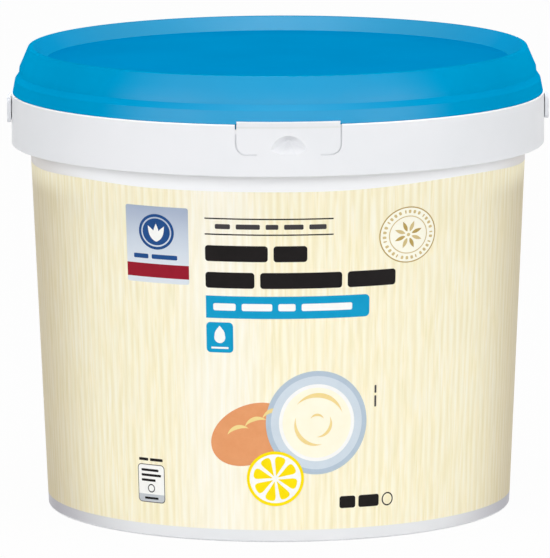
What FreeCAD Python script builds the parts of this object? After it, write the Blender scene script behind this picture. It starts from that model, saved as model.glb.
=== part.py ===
import FreeCAD, Part
import os
import Sketcher

# A ten kilogram mayonnaise bucket, shut: a round tapered container with a deep collar, a lid with a
# stacking rim, a printed film round the wall and a strap handle parked round the back of the collar.
# The axis of the bucket is Z, it stands on Z = 0, and its tamper tab faces -Y.

SIZES = {
    # container
    "wall_taper": 9.4,  # how much narrower the wall is at its foot than at the collar's web
    "base_rounding": 1.2,
    "foot_width": 6.0,
    "foot_depth": 3.5,
    "foot_slope": 1.0,
    "gate_radius": 9.0,
    "gate_height": 1.0,
    # collar
    "collar_radius": 142.0,
    "collar_top": 222.0,
    "collar_height": 27.2,
    "collar_wall": 1.8,
    "channel_width": 7.1,  # between the wall and the collar's skirt
    "collar_lip": 0.6,
    "collar_rounding": 0.5,
    "trough_depth": 3.2,
    "web_thickness": 1.8,
    "rib_count": 24.0,
    "rib_thickness": 1.4,
    "rib_height": 15.0,
    "rib_slope": 3.8,
    # tamper tab
    "tab_width": 54.5,
    "tab_height": 16.0,
    "tab_corner": 5.0,
    "tab_foot": 10.8,  # how far the groove runs in under the tab from each side
    "tab_groove": 0.8,
    "tab_groove_depth": 0.9,
    "tab_slot_depth": 2.6,
    "tab_bridge": 2.4,  # whole skin between the slot and the groove below it
    "tab_crease": 1.3,
    "tab_lip_height": 1.7,
    "tab_lip_flare": 0.8,
    "tab_lip_thickness": 0.85,
    "tab_lip_root": 1.0,
    "tab_relief": 0.9,
    "tab_relief_rise": 1.1,  # how far the gap behind the tab goes up past the web
    # thumb scoop in the tab
    "scoop_width": 19.4,
    "scoop_height": 10.2,
    "scoop_rise": 0.2,  # from the tab's lower line to the bottom of the scoop
    "scoop_floor": 8.0,
    "scoop_flare": 2.4,
    "scoop_depth": 4.4,
    "scoop_apex": 7.4,  # height of the deepest point over the bottom of the scoop
    "scoop_tip": 0.14,  # size of the deepest outline, as a share of the mouth
    "scoop_wall": 1.5,
    # lid
    "lid_rise": 24.4,  # top of the lid over the top of the collar
    "lid_wall": 1.6,
    "flange_inset": 0.05,  # how far the foot of the flange stands back from the collar's edge
    "flange_taper": 1.3,
    "flange_drop": 17.4,
    "flange_step": 2.1,
    "step_drop": 14.3,
    "step_inset": 0.55,  # how far the step's inner corners lie below its outer ones
    "step_rounding": 0.8,
    "shoulder_step": 0.3,
    "shoulder_drop": 11.1,
    "crest_run": 4.8,  # across the slope from the shoulder up to the crest
    "crest_width": 2.6,
    "crest_rounding": 1.1,
    "crest_thickness": 3.3,
    "panel_run": 6.3,  # across the slope from the crest down to the panel
    "panel_depth": 7.2,
    "lid_clearance": 0.25,
    "lip_thickness": 1.4,
    # printed film
    "film_low": 6.5,
    "film_margin": 9.2,  # from the top of the film to the bottom of the collar
    "film_thickness": 0.4,
    # strap handle
    "strap_gap": 0.35,
    "strap_thickness": 1.85,
    "strap_height": 13.0,
    "strap_rounding": 0.5,
    "pad_extra": 0.15,
    "pad_reach": 6.5,
    "pad_corner": 2.5,
    "grip_angle": 42.0,
    "grip_height": 16.0,
    "grip_thickness": 1.3,
    "grip_rounding": 0.6,
    "stud_radius": 2.6,
    "stud_clearance": 0.25,
    "stud_head_radius": 3.7,
    "stud_head_thickness": 1.3,
}

DEGREES = 57.29577951  # in one radian
REACH = 2.0  # how far a cutting tool stands out past the surface that it cuts
RIBS_LEFT_OUT = 2  # ribs that the tamper tab leaves no room for
FIRST_RIB = 1.5  # spacings of the ribs from the middle of the tab to the rib beside it
SKIN_SPREAD = 1.5  # share of the tab's angle that the skin for its groove covers


class Size:
    """A length in millimetres that also carries the sheet expression it comes from."""

    def __init__(self, value, text):
        self.value = value
        self.text = text

    def __add__(self, other):
        other = as_size(other)
        return Size(self.value + other.value, f"({self.text} + {other.text})")

    def __sub__(self, other):
        other = as_size(other)
        return Size(self.value - other.value, f"({self.text} - {other.text})")

    def __mul__(self, other):
        other = as_size(other)
        return Size(self.value * other.value, f"({self.text} * {other.text})")

    def __truediv__(self, other):
        other = as_size(other)
        return Size(self.value / other.value, f"({self.text} / {other.text})")

    def __rsub__(self, other):
        return as_size(other) - self

    def __neg__(self):
        return Size(-self.value, f"(0 - {self.text})")

    def root(self):
        return Size(self.value**0.5, f"sqrt({self.text})")


def as_size(number):
    if isinstance(number, Size):
        return number
    return Size(float(number), repr(float(number)))


class Sizes:
    """The driving sizes, by their aliases in the sheet."""

    def __init__(self):
        for name, value in SIZES.items():
            setattr(self, name, Size(value, f"sizes.{name}"))


def make_sheet(doc):
    sheet = doc.addObject("Spreadsheet::Sheet", "sizes")
    for row, (name, value) in enumerate(SIZES.items(), start=1):
        sheet.set(f"A{row}", name)
        sheet.set(f"B{row}", str(value))
        sheet.setAlias(f"B{row}", name)
    doc.recompute()


def add_shared_levels(d):
    """Heights, radii and angles that follow from the driving sizes and are shared by pieces."""
    d.collar_low = d.collar_top - d.collar_height
    d.collar_bore = d.collar_radius - d.collar_wall
    d.wall_radius = d.collar_bore - d.channel_width
    d.base_radius = d.wall_radius - d.wall_taper
    d.film_high = d.collar_low - d.film_margin
    d.bevel_low = d.collar_top - (d.collar_wall - d.collar_lip)
    d.trough_floor = d.collar_top - d.trough_depth
    d.web_low = d.trough_floor - d.web_thickness
    d.lid_top = d.collar_top + d.lid_rise
    d.panel_level = d.lid_top - d.panel_depth
    d.panel_under = d.panel_level - d.lid_wall
    d.crest_under = d.lid_top - d.crest_thickness
    d.flange_radius = d.collar_radius - d.collar_lip - d.flange_inset
    d.flange_neck = d.flange_radius - d.flange_taper
    d.step_radius = d.flange_neck - d.flange_step
    d.shoulder_radius = d.step_radius - d.shoulder_step
    d.crest_outer = d.shoulder_radius - d.crest_run
    d.crest_inner = d.crest_outer - d.crest_width
    d.panel_radius = d.crest_inner - d.panel_run
    d.neck_radius = lid_outer_slope(d, d.crest_under) - d.lid_clearance
    d.tab_side = d.tab_width / 2
    d.tab_low = d.collar_top - d.tab_height
    d.tab_angle = (d.tab_width - d.tab_groove) / d.collar_radius * DEGREES
    tab_chord = (d.collar_radius * d.collar_radius - d.tab_side * d.tab_side).root()
    d.tab_tool_depth = d.collar_radius - tab_chord + d.collar_wall + REACH * 2
    d.scoop_level = d.tab_low + d.scoop_rise
    d.strap_inner = d.collar_radius + d.strap_gap
    d.strap_outer = d.strap_inner + d.strap_thickness
    d.strap_level = d.web_low - d.stud_head_radius - d.stud_clearance


def wall_at(d, height):
    """Outside radius of the tapered wall at a height."""
    return d.base_radius + (d.wall_radius - d.base_radius) * height / d.web_low


def origin_item(body, role):
    return next(item for item in body.Origin.OriginFeatures if item.Role == role)


def new_body(doc, name):
    body = doc.addObject("PartDesign::Body", name)
    body.Label = name
    return body


def new_sketch(body, name, role, offset=0.0, turn=0.0):
    """A sketch on an origin plane of the body, moved along its normal or turned about its upright."""
    sketch = body.newObject("Sketcher::SketchObject", name)
    sketch.AttachmentSupport = [(origin_item(body, role), "")]
    sketch.MapMode = "FlatFace"
    offset = as_size(offset)
    turn = as_size(turn)
    sketch.AttachmentOffset = FreeCAD.Placement(
        FreeCAD.Vector(0, 0, offset.value),
        FreeCAD.Rotation(FreeCAD.Vector(0, 1, 0), turn.value),
    )
    if offset.value:
        sketch.setExpression("AttachmentOffset.Base.z", offset.text)
    if turn.value:
        sketch.setExpression("AttachmentOffset.Rotation.Angle", turn.text)
    return sketch


def hold_radius(sketch, side, radius):
    made = sketch.addConstraint(Sketcher.Constraint("Radius", side, radius.value))
    sketch.setExpression(f"Constraints[{made}]", radius.text)


def hold_point(sketch, side, end, across, up):
    """Holds one end of a side at its distances across and up from the sketch's origin."""
    for kind, axis, size in (("DistanceX", -2, across), ("DistanceY", -1, up)):
        if size.text == "0.0":
            sketch.addConstraint(Sketcher.Constraint("PointOnObject", side, end, axis))
            continue
        made = sketch.addConstraint(Sketcher.Constraint(kind, -1, 1, side, end, size.value))
        sketch.setExpression(f"Constraints[{made}]", size.text)


def arc_between(start, end, radius):
    """The shorter arc from start to end that a sketch draws anticlockwise."""
    chord = end - start
    outward = FreeCAD.Vector(chord.y, -chord.x, 0).normalize()
    sag = radius - (radius**2 - (chord.Length / 2) ** 2) ** 0.5
    return Part.Arc(start, (start + end) * 0.5 + outward * sag, end)


def closed_outline(sketch, points, arcs=None):
    """Sides through points in turn. arcs gives a radius to each side, by its number, that is an arc:
    a positive one swells to the right of the way along the outline, a negative one to the left."""
    arcs = arcs or {}
    first = sketch.GeometryCount
    places = [(as_size(across), as_size(up)) for across, up in points]
    corners = [FreeCAD.Vector(across.value, up.value, 0) for across, up in places]
    ends = []
    for index, start in enumerate(corners):
        end = corners[(index + 1) % len(corners)]
        side = first + index
        if index not in arcs:
            sketch.addGeometry(Part.LineSegment(start, end))
            ends.append((side, 1, 2))
        elif arcs[index].value > 0:
            sketch.addGeometry(arc_between(start, end, arcs[index].value))
            ends.append((side, 1, 2))
            hold_radius(sketch, side, arcs[index])
        else:
            sketch.addGeometry(arc_between(end, start, -arcs[index].value))
            ends.append((side, 2, 1))
            hold_radius(sketch, side, -arcs[index])
    for index, (side, start_end, finish_end) in enumerate(ends):
        after, after_start, after_finish = ends[(index + 1) % len(ends)]
        sketch.addConstraint(
            Sketcher.Constraint("Coincident", side, finish_end, after, after_start)
        )
        hold_point(sketch, side, start_end, *places[index])


def circle(sketch, across, up, radius):
    across = as_size(across)
    up = as_size(up)
    centre = FreeCAD.Vector(across.value, up.value, 0)
    side = sketch.addGeometry(Part.Circle(centre, FreeCAD.Vector(0, 0, 1), radius.value))
    hold_point(sketch, side, 3, across, up)
    hold_radius(sketch, side, radius)


def add_turned(body, kind, name, sketch, angle=360.0, midplane=False):
    """A Revolution or Groove of a sketch about the bucket's axis."""
    feature = body.newObject(f"PartDesign::{kind}", name)
    feature.Profile = (sketch, [""])
    feature.ReferenceAxis = (sketch, ["V_Axis"])
    feature.Midplane = midplane
    feature.Angle = as_size(angle).value
    feature.setExpression("Angle", as_size(angle).text)
    return feature


def add_straight(body, kind, name, sketch, length, reverse=False, midplane=False):
    """A Pad or Pocket of a sketch along its normal."""
    feature = body.newObject(f"PartDesign::{kind}", name)
    feature.Profile = (sketch, [""])
    feature.Reversed = reverse
    feature.Midplane = midplane
    feature.Length = length.value
    feature.setExpression("Length", length.text)
    return feature


def round_circles(doc, body, name, places, radius):
    """Rounds the circular edges about the axis that lie at the given radii and heights."""
    doc.recompute()
    before = body.Tip
    wanted = [(as_size(across).value, as_size(up).value) for across, up in places]
    edges = []
    for number, edge in enumerate(before.Shape.Edges, start=1):
        if not isinstance(edge.Curve, Part.Circle) or abs(edge.Curve.Axis.z) < 0.99:
            continue
        here = (edge.Curve.Radius, edge.Curve.Center.z)
        if any(abs(here[0] - r) < 0.01 and abs(here[1] - z) < 0.01 for r, z in wanted):
            edges.append(f"Edge{number}")
    fillet = body.newObject("PartDesign::Fillet", name)
    fillet.Base = (before, edges)
    fillet.Radius = radius.value
    fillet.setExpression("Radius", radius.text)
    doc.recompute()


def mirror_to_other_side(doc, body, name, features):
    """Repeats features, made at the +X side, at the -X side."""
    mirror = body.newObject("PartDesign::Mirrored", name)
    mirror.Originals = features
    mirror.MirrorPlane = (origin_item(body, "YZ_Plane"), [""])
    body.Tip = mirror
    doc.recompute()


def across_wall(thickness, lean):
    """Level distance through a wall of a thickness that leans by lean across for each one up."""
    return thickness * (lean * lean + 1).root()


def lid_inner_slope(d, height):
    """Radius, at a height, of the underside of the slope between the lid's panel and its crest."""
    lean = d.panel_run / d.panel_depth
    return d.panel_radius + (height - d.panel_level) * lean + across_wall(d.lid_wall, lean)


def lid_outer_slope(d, height):
    """Radius, at a height, of the inside of the slope between the lid's crest and its shoulder."""
    lean = d.crest_run / d.shoulder_drop
    return d.crest_outer + (d.lid_top - height) * lean - across_wall(d.lid_wall, lean)


def under_shoulder(d, radius):
    """Height at which the inside of the lid's outer slope reaches a radius."""
    lean = d.crest_run / d.shoulder_drop
    return d.lid_top - (radius - d.crest_outer + across_wall(d.lid_wall, lean)) / lean


def container_profile(d):
    """Half section of the filled container, out along its foot, up its wall and over the collar."""
    foot_inner = d.base_radius - d.foot_width
    film_foot = wall_at(d, d.film_low)
    film_head = wall_at(d, d.film_high)
    fill_edge = lid_inner_slope(d, d.panel_under) + d.lid_clearance
    slope_top = lid_inner_slope(d, d.crest_under) + d.lid_clearance
    return [
        (0, d.foot_depth),
        (foot_inner - d.foot_slope, d.foot_depth),
        (foot_inner, 0),
        (d.base_radius, 0),
        (film_foot, d.film_low),
        (film_foot - d.film_thickness, d.film_low),
        (film_head - d.film_thickness, d.film_high),
        (film_head, d.film_high),
        (d.wall_radius, d.web_low),
        (d.collar_bore, d.web_low),
        (d.collar_bore, d.collar_low),
        (d.collar_radius, d.collar_low),
        (d.collar_radius, d.collar_top),
        (d.collar_radius - d.collar_lip, d.collar_top),
        (d.collar_bore, d.bevel_low),
        (d.collar_bore, d.trough_floor),
        (d.wall_radius, d.trough_floor),
        (d.neck_radius, d.crest_under),
        (slope_top, d.crest_under),
        (fill_edge, d.panel_under),
        (0, d.panel_under),
    ]


def make_container(doc, d):
    """The container and its fill as one solid, with collar, ribs, tab lip, scoop and pivot holes."""
    body = new_body(doc, "container")
    profile = new_sketch(body, "container_profile", "XZ_Plane")
    closed_outline(profile, container_profile(d))
    add_turned(body, "Revolution", "container_turn", profile)
    round_circles(doc, body, "base_round", [(d.base_radius, 0)], d.base_rounding)
    collar_edges = [(d.collar_radius, d.collar_low), (d.collar_radius, d.collar_top)]
    round_circles(doc, body, "collar_round", collar_edges, d.collar_rounding)
    add_gate(body, d)
    add_ribs(doc, body, d)
    free_tab_from_web(body, d)
    add_tab_lip(body, d)
    add_scoop(doc, body, d)
    cut_pivot_holes(doc, body, d)
    return body


def add_gate(body, d):
    """The small raised disc in the middle of the base, where the moulding was fed."""
    sketch = new_sketch(body, "gate_circle", "XY_Plane", offset=d.foot_depth)
    circle(sketch, 0, 0, d.gate_radius)
    add_straight(body, "Pad", "gate_disc", sketch, d.gate_height, reverse=True)


def add_ribs(doc, body, d):
    """Upright ribs under the web, evenly spaced but for the two that the tab leaves no room for."""
    spacing = as_size(360.0) / d.rib_count
    sketch = new_sketch(body, "rib_profile", "XZ_Plane", turn=spacing * FIRST_RIB - 90)
    low = d.web_low - d.rib_height
    in_wall = wall_at(d, low) - d.collar_wall
    in_skirt = d.collar_radius - d.collar_wall / 2
    in_web = d.web_low + d.web_thickness / 2
    closed_outline(
        sketch,
        [
            (in_wall, low),
            (in_skirt, low + d.rib_slope),
            (in_skirt, in_web),
            (in_wall, in_web),
        ],
    )
    rib = add_straight(body, "Pad", "rib", sketch, d.rib_thickness, midplane=True)
    doc.recompute()
    pattern = body.newObject("PartDesign::PolarPattern", "ribs")
    pattern.Originals = [rib]
    pattern.Axis = (origin_item(body, "Z_Axis"), [""])
    sweep = 360 - spacing * FIRST_RIB * 2
    pattern.Angle = sweep.value
    pattern.setExpression("Angle", sweep.text)
    pattern.Occurrences = round(d.rib_count.value) - RIBS_LEFT_OUT
    pattern.setExpression("Occurrences", (d.rib_count - RIBS_LEFT_OUT).text)
    body.Tip = pattern
    doc.recompute()


def free_tab_from_web(body, d):
    """A gap in the web behind the tab, so that the tab can be bent out."""
    sketch = new_sketch(body, "tab_relief_profile", "YZ_Plane")
    near = -d.collar_bore
    far = d.tab_relief - d.collar_bore
    high = d.trough_floor + d.tab_relief_rise
    closed_outline(
        sketch,
        [
            (near, d.web_low - REACH),
            (far, d.web_low - REACH),
            (far, high),
            (near, high),
        ],
    )
    add_turned(body, "Groove", "tab_relief_cut", sketch, d.tab_angle, midplane=True)


def add_tab_lip(body, d):
    """The flared lip of the tamper tab, which stands above the collar's edge."""
    sketch = new_sketch(body, "tab_lip_profile", "YZ_Plane")
    root = d.collar_radius - d.collar_wall / 2
    crease = d.collar_top - d.tab_crease
    top = d.collar_top + d.tab_lip_height
    outer = d.collar_radius + d.tab_lip_flare
    closed_outline(
        sketch,
        [
            (-root, crease - d.tab_lip_root),
            (-d.collar_radius, crease - d.tab_lip_root),
            (-d.collar_radius, crease),
            (-outer, top),
            (d.tab_lip_thickness - outer, top),
            (-(d.flange_radius + d.lid_clearance), d.collar_top),
            (-root, crease),
        ],
    )
    add_turned(body, "Revolution", "tab_lip", sketch, d.tab_angle, midplane=True)


def bell_outline(d, sketch, scale, grow):
    """The scoop's mouth, a flat-footed arch, shrunk by scale about its deepest point."""
    apex = d.scoop_level + d.scoop_apex
    floor = (d.scoop_floor + grow) / 2 * scale
    half = (d.scoop_width / 2 + grow) * scale
    base = apex - (d.scoop_apex + grow) * scale
    flare = base + d.scoop_flare * scale
    rise = (d.scoop_height + grow * 2 - d.scoop_flare) * scale
    arch = (half * half + rise * rise) / (rise * 2)
    closed_outline(
        sketch,
        [(-floor, base), (floor, base), (half, flare), (-half, flare)],
        arcs={2: arch},
    )


def add_scoop_loft(doc, d, body, kind, name, mouth, tip, grow):
    """A bell that narrows from the plane at distance mouth from the axis to the one at tip."""
    doc.recompute()
    shrink = (1 - d.scoop_tip) / d.scoop_depth
    outer = new_sketch(body, f"{name}_mouth", "XZ_Plane", offset=mouth)
    bell_outline(d, outer, 1 - (d.collar_radius - mouth) * shrink, grow)
    inner = new_sketch(body, f"{name}_tip", "XZ_Plane", offset=tip)
    bell_outline(d, inner, d.scoop_tip, grow)
    loft = body.newObject(f"PartDesign::{kind}", name)
    loft.Profile = (outer, [""])
    loft.Sections = [(inner, [""])]
    loft.Ruled = True
    doc.recompute()


def add_scoop(doc, body, d):
    """A dimple for the thumb, deepest under its arch, with a wall of its own behind it."""
    deepest = d.collar_radius - d.scoop_depth
    in_wall = d.collar_radius - d.collar_wall / 2
    behind = deepest - d.scoop_wall
    add_scoop_loft(doc, d, body, "AdditiveLoft", "scoop_back", in_wall, behind, d.scoop_wall)
    clear = d.collar_radius + REACH
    add_scoop_loft(doc, d, body, "SubtractiveLoft", "scoop", clear, deepest, as_size(0.0))


def cut_pivot_holes(doc, body, d):
    """A hole through the collar's skirt at each side, for the handle's studs."""
    sketch = new_sketch(body, "pivot_circle", "YZ_Plane", offset=d.collar_radius + REACH)
    circle(sketch, 0, d.strap_level, d.stud_radius + d.stud_clearance)
    hole = add_straight(body, "Pocket", "pivot_hole", sketch, d.collar_wall + REACH * 2)
    mirror_to_other_side(doc, body, "pivot_holes", [hole])


def make_tab_groove(doc, d):
    """The thinned line round the tab: down each side, round the corner and in under its foot.
    At the side of the slot it starts below a bridge of whole skin."""
    stroke = new_body(doc, "tab_stroke")
    sketch = new_sketch(stroke, "tab_stroke_outline", "XZ_Plane", offset=d.collar_radius + REACH)
    for side in (-1, 1):
        outer = (d.tab_side + d.tab_groove / 2) * side
        inner = (d.tab_side - d.tab_groove / 2) * side
        bend = (d.tab_side - d.tab_groove / 2 - d.tab_corner) * side
        foot = (d.tab_side - d.tab_foot) * side
        top = d.collar_top + d.tab_lip_height + REACH
        if side < 0:
            top = d.collar_top - d.tab_slot_depth - d.tab_bridge
        low = d.tab_low
        high = d.tab_low + d.tab_groove
        turn_at = high + d.tab_corner
        closed_outline(
            sketch,
            [
                (outer, top),
                (outer, turn_at),
                (bend, low),
                (foot, low),
                (foot, high),
                (bend, high),
                (inner, turn_at),
                (inner, top),
            ],
            arcs={
                1: (d.tab_corner + d.tab_groove) * -side,
                5: d.tab_corner * side,
            },
        )
    add_straight(stroke, "Pad", "tab_stroke_pad", sketch, d.tab_tool_depth, reverse=True)

    skin = new_body(doc, "tab_skin")
    profile = new_sketch(skin, "tab_skin_profile", "YZ_Plane")
    closed_outline(
        profile,
        [
            (-(d.collar_radius + REACH * 2), d.collar_low),
            (d.tab_groove_depth - d.collar_radius, d.collar_low),
            (d.tab_groove_depth - d.collar_radius, d.collar_top + REACH * 2),
            (-(d.collar_radius + REACH * 2), d.collar_top + REACH * 2),
        ],
    )
    spread = d.tab_angle * SKIN_SPREAD
    add_turned(skin, "Revolution", "tab_skin_turn", profile, spread, midplane=True)
    groove = doc.addObject("Part::Common", "tab_groove_tool")
    groove.Base = stroke
    groove.Tool = skin
    return groove


def make_tab_slot(doc, d):
    """The slot right through the collar's edge at one side of the tab, where tearing starts."""
    body = new_body(doc, "tab_slot_tool")
    sketch = new_sketch(body, "tab_slot_outline", "XZ_Plane", offset=d.collar_radius + REACH)
    left = -(d.tab_side + d.tab_groove / 2)
    right = d.tab_groove / 2 - d.tab_side
    low = d.collar_top - d.tab_slot_depth
    high = d.collar_top + d.tab_lip_height + REACH
    closed_outline(sketch, [(left, low), (right, low), (right, high), (left, high)])
    add_straight(body, "Pad", "tab_slot_pad", sketch, d.tab_tool_depth, reverse=True)
    return body


def make_bucket(doc, d):
    """The white bucket: the container with the lines of its tamper tab cut into the collar."""
    bucket = doc.addObject("Part::Cut", "bucket")
    tools = doc.addObject("Part::MultiFuse", "tab_lines")
    tools.Shapes = [make_tab_groove(doc, d), make_tab_slot(doc, d)]
    bucket.Base = make_container(doc, d)
    bucket.Tool = tools
    return bucket


def lid_profile(d):
    """Half section of the lid: over the panel, crest, shoulder, step and flange, and back inside."""
    flange_top = d.lid_top - d.flange_drop
    flange_low = d.collar_top + d.lid_clearance
    lip_outer = d.collar_bore - d.lid_clearance
    lip_inner = lip_outer - d.lip_thickness
    lip_low = d.trough_floor + d.lid_clearance
    step_inner = d.step_radius - d.lid_wall
    under_panel = lid_inner_slope(d, d.panel_under)
    return [
        (0, d.panel_level),
        (0, d.panel_under),
        (under_panel, d.panel_under),
        (lid_inner_slope(d, d.crest_under), d.crest_under),
        (lid_outer_slope(d, d.crest_under), d.crest_under),
        (step_inner, under_shoulder(d, step_inner)),
        (step_inner, d.lid_top - d.step_drop - d.step_inset),
        (lip_inner, flange_top - d.step_inset),
        (lip_inner, lip_low),
        (lip_outer, lip_low),
        (lip_outer, d.bevel_low + d.lid_clearance / 2),
        (d.flange_radius, flange_low),
        (d.flange_neck, flange_top),
        (d.step_radius, d.lid_top - d.step_drop),
        (d.shoulder_radius, d.lid_top - d.shoulder_drop),
        (d.crest_outer, d.lid_top),
        (d.crest_inner, d.lid_top),
        (d.panel_radius, d.panel_level),
    ]


def make_lid(doc, d):
    """The blue lid, with a stacking rim round its sunk panel and a stepped flange on the collar."""
    body = new_body(doc, "lid")
    profile = new_sketch(body, "lid_profile", "XZ_Plane")
    closed_outline(profile, lid_profile(d))
    add_turned(body, "Revolution", "lid_turn", profile)
    crest = [(d.crest_inner, d.lid_top), (d.crest_outer, d.lid_top)]
    round_circles(doc, body, "crest_round", crest, d.crest_rounding)
    steps = [
        (d.step_radius, d.lid_top - d.step_drop),
        (d.flange_neck, d.lid_top - d.flange_drop),
        (d.panel_radius, d.panel_level),
    ]
    round_circles(doc, body, "step_round", steps, d.step_rounding)
    return body


def make_film(doc, d):
    """The printed film, moulded flush into the tapered wall."""
    body = new_body(doc, "label")
    sketch = new_sketch(body, "film_profile", "XZ_Plane")
    foot = wall_at(d, d.film_low)
    head = wall_at(d, d.film_high)
    closed_outline(
        sketch,
        [
            (foot - d.film_thickness, d.film_low),
            (foot, d.film_low),
            (head, d.film_high),
            (head - d.film_thickness, d.film_high),
        ],
    )
    add_turned(body, "Revolution", "film_turn", sketch)
    return body


def make_handle(doc, d):
    """The strap handle, parked round the back of the collar and pinned to it at both sides."""
    body = new_body(doc, "handle")
    low = d.strap_level - d.strap_height / 2
    high = d.strap_level + d.strap_height / 2
    strap = new_sketch(body, "strap_section", "XZ_Plane")
    closed_outline(
        strap,
        [(d.strap_inner, low), (d.strap_outer, low), (d.strap_outer, high), (d.strap_inner, high)],
    )
    add_turned(body, "Revolution", "strap", strap, 180.0)
    strap_edges = [(d.strap_outer, low), (d.strap_outer, high)]
    round_circles(doc, body, "strap_round", strap_edges, d.strap_rounding)
    add_grip(doc, body, d)
    add_strap_ends(doc, body, d)
    return body


def add_grip(doc, body, d):
    """The thicker, taller stretch of the strap that the hand holds."""
    sketch = new_sketch(body, "grip_section", "YZ_Plane")
    low = d.strap_level - d.grip_height / 2
    high = d.strap_level + d.grip_height / 2
    outer = d.strap_outer + d.grip_thickness
    closed_outline(
        sketch, [(d.strap_inner, low), (outer, low), (outer, high), (d.strap_inner, high)]
    )
    add_turned(body, "Revolution", "grip", sketch, d.grip_angle, midplane=True)
    round_circles(doc, body, "grip_round", [(outer, low), (outer, high)], d.grip_rounding)


def add_strap_ends(doc, body, d):
    """Flat pads at the strap's ends, each with a headed stud through the collar."""
    outside = d.strap_outer + d.pad_extra
    low = d.strap_level - d.strap_height / 2
    high = d.strap_level + d.strap_height / 2
    outline = new_sketch(body, "pad_outline", "YZ_Plane", offset=outside)
    closed_outline(
        outline,
        [
            (d.pad_corner - d.pad_reach, low),
            (d.pad_reach, low),
            (d.pad_reach, high),
            (d.pad_corner - d.pad_reach, high),
            (-d.pad_reach, high - d.pad_corner),
            (-d.pad_reach, low + d.pad_corner),
        ],
        arcs={3: d.pad_corner, 5: d.pad_corner},
    )
    pad = add_straight(body, "Pad", "pad", outline, d.strap_thickness + d.pad_extra, reverse=True)
    behind_skirt = d.collar_bore - d.stud_clearance
    stud_circle = new_sketch(body, "stud_circle", "YZ_Plane", offset=d.strap_inner)
    circle(stud_circle, 0, d.strap_level, d.stud_radius)
    stud = add_straight(body, "Pad", "stud", stud_circle, d.strap_inner - behind_skirt, reverse=True)
    head_circle = new_sketch(body, "stud_head_circle", "YZ_Plane", offset=behind_skirt)
    circle(head_circle, 0, d.strap_level, d.stud_head_radius)
    head = add_straight(
        body, "Pad", "stud_head", head_circle, d.stud_head_thickness, reverse=True
    )
    doc.recompute()
    mirror_to_other_side(doc, body, "strap_ends", [pad, stud, head])


def check(doc, nodes):
    """Stops the build if any object failed or any piece is not one valid solid."""
    for item in doc.Objects:
        if "Invalid" in item.State or "Error" in item.State:
            raise RuntimeError(f"{item.Name} failed: {item.State}")
    for node in nodes:
        shape = node.Shape
        if shape.isNull() or not shape.isValid() or len(shape.Solids) != 1:
            raise RuntimeError(f"{node.Label} is not one valid solid")


def main():
    doc = FreeCAD.newDocument("bucket")
    make_sheet(doc)
    d = Sizes()
    add_shared_levels(d)
    nodes = [make_bucket(doc, d), make_lid(doc, d), make_film(doc, d), make_handle(doc, d)]
    doc.recompute()
    check(doc, nodes)
    os.makedirs("parts", exist_ok=True)
    for node in nodes:
        node.Shape.exportStep(f"parts/{node.Label}.step")


main()
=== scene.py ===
import math

import bmesh
import bpy
from mathutils import Euler, Matrix, Vector


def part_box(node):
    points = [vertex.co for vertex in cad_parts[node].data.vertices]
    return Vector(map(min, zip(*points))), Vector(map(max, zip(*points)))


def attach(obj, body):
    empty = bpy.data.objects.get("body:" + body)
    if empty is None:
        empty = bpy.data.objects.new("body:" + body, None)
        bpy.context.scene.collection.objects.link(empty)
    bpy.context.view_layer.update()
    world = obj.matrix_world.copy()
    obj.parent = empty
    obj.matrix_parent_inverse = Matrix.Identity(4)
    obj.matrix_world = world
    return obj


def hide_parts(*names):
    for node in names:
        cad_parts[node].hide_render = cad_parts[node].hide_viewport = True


# A shut ten kilogram bucket of mayonnaise: a white container with a deep collar, a blue lid, a cream
# printed film round the wall and a white strap handle parked round the back.
# Sizes are in millimetres. Places on the wall are too: along it from the middle of its front, and up
# from the floor. Only the lamps are placed in metres.

MM = 0.001

CAMERA_REACH = 4049.6  # level distance from the bucket's axis
CAMERA_HEIGHT = 741.9
CAMERA_TURN = 2.2  # degrees round the axis, to the left of the tamper tab
CAMERA_SIDE = 1.8  # the camera stands this far to the left of facing the axis
CAMERA_PITCH = 8.73  # degrees downwards
CAMERA_ROLL = -0.18
CAMERA_LENS = 493.7
CAMERA_SENSOR = 36.0

FLOOR_LEVEL = -0.1  # just clear of the foot
FLOOR_HALF = 9000.0
FLOOR_GLOW = 0.97  # how far what is seen of the floor is lifted to white

RIM = 222.0  # upper edge of the collar
RIM_HIGHLIGHT_EDGE = (0.5, 0.9)  # below an edge, the painted highlight is whole down to here and gone by here
TAB_SIDE = 27.5  # half the width of the tamper tab
TAB_RISE = 1.7  # how far the tab's lip stands above the collar
CREASE = 220.6  # the crease across the tab under that lip
CREASE_SHADE_EDGE = (0.1, 0.8)  # from its middle, the crease's painted shade is whole up to here and gone by here
WALL_REACH = 134.5  # the wall is inside this radius, and the collar outside it
WALL_TOP = 10.0  # how far above the film the bare wall may reach
STEEP = 0.2  # a wall's normal rises or falls by less than this
STRIP_PAINTED_LIGHT = (120.0, 170.0)  # up the wall, where its painted light begins to whiten it and where that painted light is whole
FOOT_TOP = 40.0  # the foot's strip of bare wall ends somewhere below this, under the film
PANEL_LEVEL = 0.999  # the lid's panel faces up by more than this
PANEL_DROP = 2.0  # the panel lies deeper than this under the top of the lid, and the crest higher
PANEL_BAND = 8.0  # the slope down to the panel ends by this depth
INWARD = -0.1  # that slope's normal leans inwards by more than this
LID_LIGHT_SIDES = (120.0, 196.0)  # along the wall, where the painted light on the lid's blue starts and is strongest
LID_LIGHT_BACK = (225.0, 300.0)  # where that starts to fade again, and has faded
SLOPE_REFLECTION_BACK = (240.0, 325.0)  # where the painted reflection on the slope to the panel starts, and is strongest

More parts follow.
